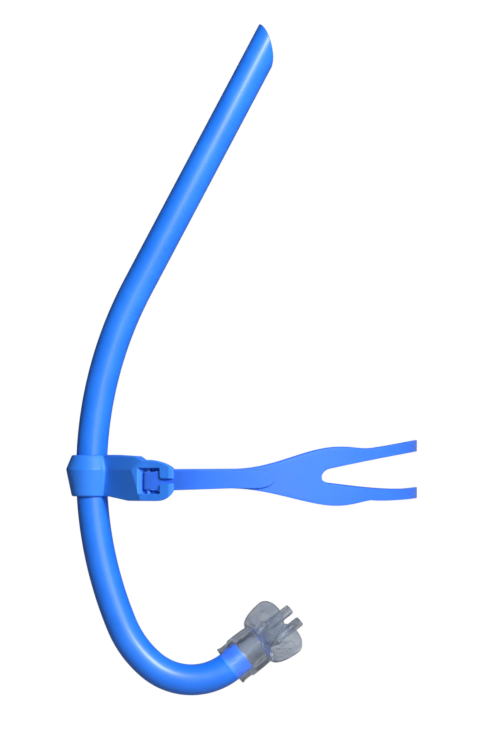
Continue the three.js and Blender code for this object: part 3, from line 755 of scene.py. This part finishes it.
def pad_line(run):
    """A place on the glued face so far from the middle of the pad, and the way from there to the head."""
    side_of = 1 if run < 0 else -1
    past_flat = max(0, abs(run) - face_half)
    turn = min(1, max(0, (abs(run) - face_half + 1.5 * mm) / (3 * mm)))
    to_head = Vector((1, 0, 0)).lerp(Vector((-wing_way.y, -wing_way.x * side_of, 0)), turn).normalized()
    flat_y = min(abs(run), face_half)
    place = by_sleeve(face_x + wing_way.x * past_flat, side_of * (flat_y - wing_way.y * past_flat), 0)
    return place, to_head


bpy.ops.object.select_all(action="DESELECT")
bpy.ops.mesh.primitive_cube_add(size=2)
pad = added("forehead_cushion")
bpy.ops.object.mode_set(mode="EDIT")
bpy.ops.mesh.select_all(action="SELECT")
bpy.ops.mesh.subdivide(number_cuts=31)
bpy.ops.object.mode_set(mode="OBJECT")
for vertex in pad.data.vertices:
    deep, run, up = vertex.co
    # The outline's corners are drawn in to a round, and the face is lowered towards its edges.
    round_run = run * (1 - 0.5 * abs(up) ** 6 * abs(run) ** 6 * 0.25)
    round_up = up * (1 - 0.5 * abs(run) ** 10 * abs(up) ** 6 * 0.7)
    crown = (1 - abs(run) ** 8) * (1 - abs(up) ** 4)
    thickness = pad_thickness * (pad_edge_share + (1 - pad_edge_share) * crown)
    place, to_head = pad_line(round_run * pad_half)
    fold = (abs(round_run) * pad_half - face_half) / pad_fold_width
    thickness -= pad_fold_depth * 2.718 ** (-fold * fold)
    height = (pad_top + pad_bottom) / 2 + round_up * (pad_top - pad_bottom) / 2
    vertex.co = place + to_head * (pad_seat + (deep + 1) / 2 * thickness) + Vector((0, 0, height))
face_out(pad)
bpy.ops.object.mode_set(mode="EDIT")
bevel_sharp(radians(45), pad_bevel)
bpy.ops.object.shade_smooth()

# Closed-cell foam: small round cells, a dull skin, and painted shade in the low lines between the cells,
# which are coloured darker.
foam, nodes, links, surface = new_finish("navy_foam")
surface.inputs["Sheen Weight"].default_value = 0.25
surface.inputs["Sheen Roughness"].default_value = 0.4
spot = nodes.new("ShaderNodeTexCoord").outputs["Object"]
cells = nodes.new("ShaderNodeTexVoronoi")
cells.inputs["Scale"].default_value = 1900
links.new(spot, cells.inputs["Vector"])
# Lighter at each cell's middle and darker towards its edges, the hollows of the relief: painted shade.
cell_colours_with_painted_shade = [(0, (0.022, 0.04, 0.085, 1)), (0.7, (0.007, 0.013, 0.03, 1))]
links.new(ramp(nodes, links, cells.outputs["Distance"], cell_colours_with_painted_shade), surface.inputs["Base Color"])
links.new(spread(nodes, links, mottle(nodes, links, spot, 300), 0.75, 0.98), surface.inputs["Roughness"])
relief = bumped(nodes, links, cells.outputs["Distance"], 0.7, 0.08 * mm)
relief.node.invert = True
links.new(relief, surface.inputs["Normal"])
put_on(pad, foam)
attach(pad, "head_bracket")
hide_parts("forehead_pad")


# ---- Strap ----
# One flat moulding of matte blue silicone, 1.8 mm thick. It leaves each buckle as an even band, widens at the
# side of the head and splits into an upper and a lower arm round the back of it. Each end passes under its
# buckle's jaws, folds round the pin and comes back out along the band as a tail with a round tongue.

strap_thickness = 1.8 * mm
strap_rear_x = 230.1 * mm
strap_bulge = 52 * mm
strap_rear_pull = 58 * mm
strap_play = 0.3 * mm
strap_step = 1.5 * mm
tongue_step = 0.35 * mm
strap_edge = 0.45 * mm
tail_depth = jaw_thickness + strap_play + strap_thickness / 2
band_depth = tail_depth + strap_thickness + strap_play
turn_radius = pin_radius + strap_play + strap_thickness / 2
tail_length = 70 * mm
tail_tongue = 14 * mm
widen_x = strap_rear_x - 128 * mm
widest_x = strap_rear_x - 57 * mm
split_x = strap_rear_x - 67 * mm
waist = 2.5 * mm
strap_top = strap_middle + strap_width / 2
strap_bottom = strap_middle - strap_width / 2
strap_end_x = strap_rear_x + strap_thickness


def edge_line(start, *curves):
    """An edge of the strap from the side, through smooth curves of (pull, pull, end)."""
    line = [start]
    for pull_a, pull_b, stop in curves:
        line += curved(line[-1], pull_a, pull_b, stop, 24)
    return line


def height_on(line, x):
    """The height of an edge at one place along the strap, given from the sleeve."""
    for (x0, z0), (x1, z1) in zip(line, line[1:]):
        if x0 <= x <= x1 and x1 > x0:
            return z0 + (z1 - z0) * (x - x0) / (x1 - x0)
    return line[0][1] if x < line[0][0] else line[-1][1]


def at(x, z_mm):
    return (x, z_mm * mm)


taper = (widest_x - widen_x) / 3
third = 19 * mm
end_x = strap_end_x
upper_edge = edge_line(
    (widen_x, strap_top + 0.3 * mm),
    ((widen_x + 1.2 * taper, strap_top + 1 * mm), at(widest_x - taper, 18.6), at(widest_x, 20.2)),
    (at(widest_x + 13 * mm, 21), at(widest_x + third, 18), at(end_x - 1.6 * third, 19.9)),
    (at(end_x - third, 21.5), at(end_x - 8 * mm, 24.2), at(end_x, 25.6)))
upper_edge = [(elbow_x, strap_top)] + upper_edge
lower_edge = edge_line(
    at(end_x, -15.7),
    (at(end_x - 10 * mm, -17), at(end_x - 1.4 * third, -18), at(end_x - 1.8 * third, -17)),
    (at(widest_x + 15 * mm, -18.7), at(widest_x + 9 * mm, -21.4), at(widest_x - 3 * mm, -20.8)),
    (at(widest_x - taper, -19.3), (widen_x + taper, strap_bottom + waist),
     (widen_x - 4 * mm, strap_bottom + waist)))
lower_edge = [(elbow_x, strap_bottom)] + lower_edge[::-1]
gap = edge_line(
    at(end_x + 5 * mm, 18.4),
    (at(split_x + 42 * mm, 13), at(split_x + 20 * mm, 8.4), at(split_x + 6 * mm, 5.4)),
    (at(split_x - 2 * mm, 3.6), at(split_x - 2 * mm, -4.8), at(split_x + 5 * mm, -5.4)),
    (at(split_x + 22 * mm, -7.4), at(split_x + 42 * mm, -10.4), at(end_x - 9 * mm, -9.2)),
    (at(end_x - 4 * mm, -8.5), at(end_x, -7.8), at(end_x + 5 * mm, -7.1)))
crotch = min(range(len(gap)), key=lambda i: gap[i][0])
crotch_x, crotch_z = gap[crotch]
gap_over, gap_under = gap[crotch::-1], gap[crotch:]

# The left half of the band's plan, from the middle of the rear to the tail's tip.
leaves = on_buckle(buckle_length + 2 * mm, band_depth)
pull = leaves + Vector((cos(splay), -sin(splay), 0)) * strap_bulge
rear_pull = by_sleeve(strap_rear_x, -strap_rear_pull, 0)
rear_middle = by_sleeve(strap_rear_x, 0, 0)
loop = [Vector((*p, 0)) for p in [rear_middle[:2]] + curved(rear_middle, rear_pull, pull, leaves, 400)]


def spaced(points, spacing):
    """The same line with its places about evenly apart."""
    runs = [0]
    for a, b in zip(points, points[1:]):
        runs.append(runs[-1] + (b - a).length)
    count = max(1, round(runs[-1] / spacing))
    places, i = [], 0
    for k in range(count + 1):
        run = runs[-1] * k / count
        while i < len(runs) - 2 and runs[i + 1] < run:
            i += 1
        places.append(points[i].lerp(points[i + 1], (run - runs[i]) / (runs[i + 1] - runs[i])))
    return places


def crossing(points, x):
    """The place where a line first reaches x on its way from the rear."""
    for a, b in zip(points, points[1:]):
        if b.x <= x <= a.x:
            return a.lerp(b, (a.x - x) / (a.x - b.x))


# Closely spaced places round the end of the split, so that it comes out round.
near_crotch = [crossing(loop, sleeve_middle.x + crotch_x + step * mm) for step in (
    6, 5.2, 4.4, 3.7, 3, 2.4, 1.8, 1.3, 0.9, 0.55, 0.3, 0.12, 0.03, 0)]
far_loop = [p for p in loop if p.x > near_crotch[0].x]
near_loop = [p for p in loop if p.x < near_crotch[-1].x]
band_plan = spaced(far_loop + [near_crotch[0]], strap_step)[:-1] + near_crotch
band_plan += spaced([near_crotch[-1]] + near_loop, strap_step)[1:]
fold_start = on_buckle(pin_at, pin_depth + turn_radius)
into_buckle = [Vector((*p, 0)) for p in curved(
    leaves, on_buckle(window_end, band_depth), on_buckle(window_end - 3 * mm, pin_depth + turn_radius),
    fold_start, 24)]
fold = [on_buckle(pin_at - turn_radius * sin(a), pin_depth - turn_radius * cos(a)) for a in (
    pi * (1 - i / 20) for i in range(1, 21))]
tail_start = leaves + Vector((-sin(splay), -cos(splay), 0)) * (band_depth - tail_depth)
out_of_buckle = [Vector((*p, 0)) for p in curved(
    fold[-1], on_buckle(window_end - 3 * mm, pin_depth - turn_radius), on_buckle(window_end, tail_depth),
    tail_start, 24)]
tail_plan = []
run = 0
for a, b in zip(loop[::-1], loop[-2::-1]):
    way = (b - a).normalized()
    tail_plan.append(a + Vector((way.y, -way.x, 0)) * (band_depth - tail_depth))
    run += (b - a).length
    if run > tail_length:
        break
tail_tip_x = tail_plan[-1].x - sleeve_middle.x
tongue_x = tail_tip_x - tail_tongue
tail_middle = (strap_top + strap_bottom + waist) / 2
tip_half = 4 * mm
tail_upper = edge_line(
    (tongue_x, strap_top), ((tongue_x + tail_tongue / 2, strap_top), (tail_tip_x, tail_middle + tip_half),
                            (tail_tip_x, tail_middle)))
tail_lower = edge_line(
    (tongue_x, strap_bottom + waist), ((tongue_x + tail_tongue / 2, strap_bottom + waist),
                                       (tail_tip_x, tail_middle - tip_half), (tail_tip_x, tail_middle)))
tail_lower = [(elbow_x, strap_bottom), (widen_x - 4 * mm, strap_bottom + waist)] + tail_lower
body_of_tail = [p for p in tail_plan if p.x < sleeve_middle.x + tongue_x]
tongue = [p for p in tail_plan if p.x >= sleeve_middle.x + tongue_x]
tail_places = spaced([tail_start] + body_of_tail, strap_step)[1:] + spaced(tongue, tongue_step)

# Every place with the heights of the strap's two halves there: bottom, middle (or the two sides of the gap)
# and top.
stations = []
for place in band_plan + into_buckle[1:]:
    x = place.x - sleeve_middle.x
    top, bottom = height_on(upper_edge, x), height_on(lower_edge, x)
    if x > crotch_x + 0.001 * mm:
        stations.append((place, bottom, height_on(gap_under, x), height_on(gap_over, x), top))
    else:
        near = min(1, max(0, (x - widen_x) / (crotch_x - widen_x)))
        middle = (top + bottom) / 2 * (1 - near) + crotch_z * near
        stations.append((place, bottom, middle, middle, top))
for place in fold + out_of_buckle + tail_places:
    x = place.x - sleeve_middle.x
    top = min(strap_top, height_on(tail_upper, x))
    bottom = height_on(tail_lower, x)
    stations.append((place, bottom, (top + bottom) / 2, (top + bottom) / 2, top))

# Inside the window it is moulded a little narrower, so that it turns easily round the pin.
for i, (place, *heights) in enumerate(stations):
    along = (place - on_buckle(0, 0)).dot(Vector((cos(splay), -sin(splay), 0)))
    pinch = fold_pinch * min(1, max(0, (window_end - along) / (window_end - widens_from)))
    if along < window_end and heights[1] == heights[2]:
        stations[i] = (place, heights[0] + pinch, heights[1], heights[2], heights[3] - pinch)

# Two grids, the lower and the upper half, are laid along the places. They merge wherever there is no gap.
rows = 6
halves = []
for low, high in ((1, 2), (3, 4)):
    bpy.ops.object.select_all(action="DESELECT")
    bpy.ops.mesh.primitive_grid_add(x_subdivisions=len(stations) - 1, y_subdivisions=rows, size=2)
    half = added("strap_half")
    for vertex in half.data.vertices:
        station = stations[round((vertex.co.x + 1) / 2 * (len(stations) - 1))]
        share = (vertex.co.y + 1) / 2
        place, z0, z1 = station[0], station[low], station[high]
        vertex.co = (place.x, place.y, z0 + (z1 - z0) * share)
    halves.append(half)
strap = halves[0]
start_on(strap)
halves[1].select_set(True)
bpy.ops.object.join()
strap.name = strap.data.name = "silicone_strap"


def merge_doubles(piece):
    """Merges the places of a sheet that fall together, and turns all its faces the same way."""
    start_on(piece)
    bpy.ops.object.mode_set(mode="EDIT")
    bpy.ops.mesh.select_all(action="SELECT")
    bpy.ops.mesh.remove_doubles(threshold=same_place)
    return face_out(piece)


merge_doubles(strap)
apply_modifier(strap, "MIRROR", use_axis=(False, True, False), use_mirror_merge=True,
               merge_threshold=2 * same_place)
apply_modifier(strap, "SOLIDIFY", thickness=strap_thickness, offset=0)
apply_modifier(strap, "BEVEL", width=strap_edge, segments=3, limit_method="ANGLE", angle_limit=radians(50),
               use_clamp_overlap=False)
start_on(strap)
bpy.ops.object.shade_smooth_by_angle(angle=radians(45))

# Matte silicone: a fine blasted skin, a little dust-dull in patches, and paler along its thin edges, partly
# wear and partly a painted highlight.
matte_blue, surface = moulded_finish(
    "matte_blue_silicone", [(0.024, 0.155, 0.84, 1), (0.032, 0.175, 0.92, 1)], (0.045, 0.22, 0.96, 1),
    Grain=3000, Relief=0.02 * mm, Patch=35, Smoothest=0.52, Roughest=0.68)
surface.inputs["IOR"].default_value = 1.41
surface.inputs["Subsurface Weight"].default_value = 0.08
surface.inputs["Subsurface Radius"].default_value = (0.3, 0.6, 1)
surface.inputs["Subsurface Scale"].default_value = 0.6 * mm
surface.inputs["Sheen Weight"].default_value = 0.15
surface.inputs["Sheen Roughness"].default_value = 0.5
put_on(strap, matte_blue)
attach(strap, "head_bracket")
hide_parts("strap")


# ---- Mouthpiece ----
# One soft moulding of clear silicone, stretched over the tube's lower end, where it can be turned. A bead
# stiffens its sleeve's mouth, and the curved flange lies between lips and gums. The teeth close on two bite
# tabs, behind the raised lug along the inner side of each.

socket_radius = 14.4 * mm
bead_radius = 15 * mm
bead_width = 1.6 * mm
neck_radius = 15.4 * mm
neck_start = 9.4 * mm
airway_radius = 8.6 * mm
flange_start = 25 * mm
flange_depth = 28 * mm
flange_half_width = 26.5 * mm
flange_half_height = 15.6 * mm
wing_half_height = 13.8 * mm
flange_wall = 1.9 * mm
tab_middle = 16 * mm
tab_width = 9 * mm
tab_plate = 2.8 * mm
tab_end = 59.5 * mm
lug_height = 7.4 * mm
lug_width = 4 * mm
lug_length = 21 * mm
tab_edge = 1.3 * mm
lug_edge = 1.6 * mm
socket_play = 0.35 * mm
socket_end_play = 0.3 * mm
cutter_half = 30 * mm
mouthpiece_roll = radians(25)
flange_end = flange_start + flange_depth


def soft_block(name, low, high, edge):
    """A block between two corners with rounded edges."""
    corners = list(zip(low, high))
    piece = block(name, [(a + b) / 2 for a, b in corners], [b - a for a, b in corners])
    bpy.ops.object.mode_set(mode="EDIT")
    bpy.ops.mesh.select_all(action="SELECT")
    bpy.ops.mesh.bevel(offset=edge, segments=4, affect="EDGES")
    bpy.ops.object.mode_set(mode="OBJECT")
    return piece


def wing_height(w):
    """Half the flange's height at one place along the mouthpiece: it tapers, and its wings end round."""
    straight_end = flange_end - 11 * mm
    if w <= straight_end:
        share = max(0, (w - flange_start - 2 * mm) / (straight_end - flange_start - 2 * mm))
        return flange_half_height + (wing_half_height - flange_half_height) * share
    share = (w - straight_end) / (flange_end - straight_end)
    return wing_half_height * max(0, 1 - share ** 2.4) ** 0.5


# The neck, built about Z, with the side that faces the mouth scooped out where the flange curves across it.
neck = turned_solid("clear_mouthpiece", [
    (bead_radius - 0.4 * mm, 0), (bead_radius, 0.4 * mm), (bead_radius, bead_width),
    (socket_radius, bead_width + 0.6 * mm), (socket_radius, neck_start - 1 * mm), (neck_radius, neck_start),
    (neck_radius, flange_start - 6 * mm), (neck_radius - 1 * mm, flange_start + 0.3 * flange_depth)])


def flange_arc(inset):
    """Half an oval across the mouthpiece, so far inside the flange's outer face."""
    return [((flange_half_width - inset) * cos(pi * i / 40), -cutter_half,
             flange_end - (flange_depth - inset) * sin(pi * i / 40)) for i in range(41)]


scoop = slab("scoop", flange_arc(flange_wall), (0, 2 * cutter_half, 0))
socket = rod("socket", tube_radius + socket_play, 0, 0, -cutter_lap, socket_depth + socket_end_play, 96)
airway = rod("airway", airway_radius, 0, 0, 0, flange_start + flange_depth / 2, 96)
cut_by(neck, [scoop, socket, airway])

# The flange: a sheet laid along half an oval, thickened, with a rounded bead along its rim.
bpy.ops.object.select_all(action="DESELECT")
bpy.ops.mesh.primitive_grid_add(x_subdivisions=72, y_subdivisions=28, size=2)
flange = added("flange")
for vertex in flange.data.vertices:
    t = (vertex.co.x + 1) / 2
    angle = pi * (t * t * (3 - 2 * t) * 0.6 + t * 0.4)
    w = flange_end - (flange_depth - flange_wall / 2) * sin(angle)
    across = (flange_half_width - flange_wall / 2) * cos(angle)
    vertex.co = (across, vertex.co.y * wing_height(w), w)
merge_doubles(flange)
apply_modifier(flange, "SOLIDIFY", thickness=flange_wall, offset=0)
cut_by(flange, [airway])

# The bite tabs with their lugs, cut off inside the flange's wall.
tabs = []
for way in (-1, 1):
    inner, outer = tab_middle - tab_width / 2, tab_middle + tab_width / 2
    places = sorted((way * inner, way * outer))
    tabs.append(soft_block("tab", (places[0], -tab_plate / 2, flange_start),
                           (places[1], tab_plate / 2, tab_end), tab_edge))
    places = sorted((way * inner, way * (inner + lug_width)))
    tabs.append(soft_block("lug", (places[0], -lug_height / 2, tab_end - lug_length),
                           (places[1], lug_height / 2, tab_end), lug_edge))
mouth_side = slab("mouth_side", flange_arc(flange_wall / 2) + [
    (-flange_half_width, -cutter_half, tab_end + 5 * mm),
    (flange_half_width, -cutter_half, tab_end + 5 * mm)],
    (0, 2 * cutter_half, 0))
for tab in tabs:
    cut_by(tab, [mouth_side], "INTERSECT")
mouthpiece = joined(neck, flange, *tabs)
for cutter in (scoop, socket, airway, mouth_side):
    bpy.data.objects.remove(cutter)
apply_modifier(mouthpiece, "REMESH", mode="VOXEL", voxel_size=0.3 * mm, use_smooth_shade=True)
apply_modifier(mouthpiece, "SMOOTH", factor=0.5, iterations=14)
apply_modifier(mouthpiece, "DECIMATE", ratio=0.5)

# Turned into its place on the tube's end.
upwards = Vector((-mouthpiece_axis.z, 0, mouthpiece_axis.x))
height_way = upwards * cos(mouthpiece_roll) + Vector((0, 1, 0)) * sin(mouthpiece_roll)
width_way = height_way.cross(mouthpiece_axis)
place = Matrix((width_way, height_way, mouthpiece_axis)).transposed().to_4x4()
mouthpiece.data.transform(Matrix.Translation(mouthpiece_start) @ place)

# Clear silicone: smoky grey-blue where it is thick, with flow waves from the mould and a few dull finger
# marks.
clear, surface = moulded_finish(
    "clear_silicone", [(0.56, 0.62, 0.72, 1), (0.82, 0.86, 0.92, 1)],
    Grain=700, Relief=0.03 * mm, Patch=90, Smoothest=0.08, Roughest=0.26)
surface.inputs["IOR"].default_value = 1.41
surface.inputs["Transmission Weight"].default_value = 0.97
surface.inputs["Specular IOR Level"].default_value = 0.6
nodes, links = clear.node_tree.nodes, clear.node_tree.links
spot = nodes.new("ShaderNodeTexCoord").outputs["Object"]
grain = surface.inputs["Normal"].links[0].from_socket
flow = bumped(nodes, links, mottle(nodes, links, spot, 130, 2), 0.5, 1.2 * mm, grain)
links.new(flow, surface.inputs["Normal"])


def chosen(nodes, links, share, shader, other):
    """A shader where the share is 0, and the other one where it is 1."""
    node = nodes.new("ShaderNodeMixShader")
    for source, socket in zip((share, shader, other), node.inputs):
        links.new(source, socket)
    return node.outputs[0]


# Lamplight goes straight through it, to the tube's end in its socket.
lets_light = nodes.new("ShaderNodeBsdfTransparent")
lets_light.inputs["Color"].default_value = (0.72, 0.8, 0.86, 1)
shadow_ray = nodes.new("ShaderNodeLightPath").outputs["Is Shadow Ray"]
links.new(chosen(nodes, links, shadow_ray, surface.outputs["BSDF"], lets_light.outputs["BSDF"]),
          nodes["Material Output"].inputs["Surface"])
put_on(mouthpiece, clear)
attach(mouthpiece, "mouthpiece")
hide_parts("mouthpiece")


# ---- Studio ----
# A pale floor well under the snorkel, a broad soft light beside the camera, a softer one from the right, and
# a white surround. The camera looks square at the snorkel's left side from far off, so the strap's far side
# stays hidden.

middle = (0.09, 0, 0.075)
floor_height = -0.36
floor_radius = 5
camera_distance = 10
frame_height = 0.5254

bpy.ops.object.select_all(action="DESELECT")
bpy.ops.mesh.primitive_circle_add(
    vertices=96, radius=floor_radius, fill_type="NGON", location=(middle[0], 0, floor_height))
floor = added("studio_floor")
floor_paint, nodes, links, surface = new_finish("pale_floor")
spot = nodes.new("ShaderNodeTexCoord").outputs["Object"]
links.new(ramp(nodes, links, mottle(nodes, links, spot, 3), [(0.3, grey(0.3)), (0.7, grey(0.33))]),
          surface.inputs["Base Color"])
links.new(spread(nodes, links, mottle(nodes, links, spot, 60), 0.6, 0.8), surface.inputs["Roughness"])
surface.inputs["Emission Color"].default_value = (0.93, 0.95, 0.97, 1)
glow = nodes.new("ShaderNodeMath")
glow.operation = "MULTIPLY"
glow.inputs[1].default_value = 0.58
links.new(nodes.new("ShaderNodeLightPath").outputs["Is Camera Ray"], glow.inputs[0])
links.new(glow.outputs[0], surface.inputs["Emission Strength"])
put_on(floor, floor_paint)


def soft_light(name, place, aim, width, height, power):
    lamp = bpy.data.lights.new(name, "AREA")
    lamp.shape = "RECTANGLE"
    lamp.size, lamp.size_y, lamp.energy = width, height, power
    light = bpy.data.objects.new(name, lamp)
    bpy.context.collection.objects.link(light)
    light.location = place
    light.rotation_euler = (Vector(aim) - Vector(place)).to_track_quat("-Z", "Y").to_euler()
    return light


soft_light("key", (0.8, -1.85, 0.85), middle, 0.7, 0.7, 64)
soft_light("strip", (0.24, -1.9, -0.08), middle, 0.07, 0.16, 1.3)
behind = soft_light("behind", (-0.5, 4, 2), middle, 3, 2.4, 110)
behind.visible_glossy = behind.visible_transmission = False

world = bpy.data.worlds.new("studio")
bpy.context.scene.world = world
world.use_nodes = True
nodes, links = world.node_tree.nodes, world.node_tree.links
surround = nodes["Background"]
surround.inputs["Color"].default_value = (0.86, 0.91, 1, 1)
surround.inputs["Strength"].default_value = 0.08
seen = nodes.new("ShaderNodeBackground")
seen.inputs["Color"].default_value = grey(1)
seen.inputs["Strength"].default_value = 1
ray = nodes.new("ShaderNodeLightPath")
direct = chosen(nodes, links, ray.outputs["Is Camera Ray"], surround.outputs[0], seen.outputs[0])
through = nodes.new("ShaderNodeBackground")
level = nodes.new("ShaderNodeSeparateXYZ")
links.new(nodes.new("ShaderNodeTexCoord").outputs["Generated"], level.inputs[0])
height = nodes.new("ShaderNodeMath")
height.operation = "ABSOLUTE"
links.new(level.outputs["Z"], height.inputs[0])
level_colours = [(0.12, (0.46, 0.47, 0.49, 1)), (0.5, (0.06, 0.065, 0.075, 1))]
links.new(ramp(nodes, links, height.outputs[0], level_colours), through.inputs["Color"])
links.new(chosen(nodes, links, ray.outputs["Is Transmission Ray"], direct, through.outputs[0]),
          nodes["World Output"].inputs["Surface"])

bpy.ops.object.camera_add(location=(middle[0], -camera_distance, middle[2]), rotation=(pi / 2, 0, 0))
camera = bpy.context.object
camera.data.lens = camera.data.sensor_width * camera_distance / frame_height
camera.data.clip_end = 100
bpy.context.scene.camera = camera
bpy.context.scene.view_settings.view_transform = "Standard"
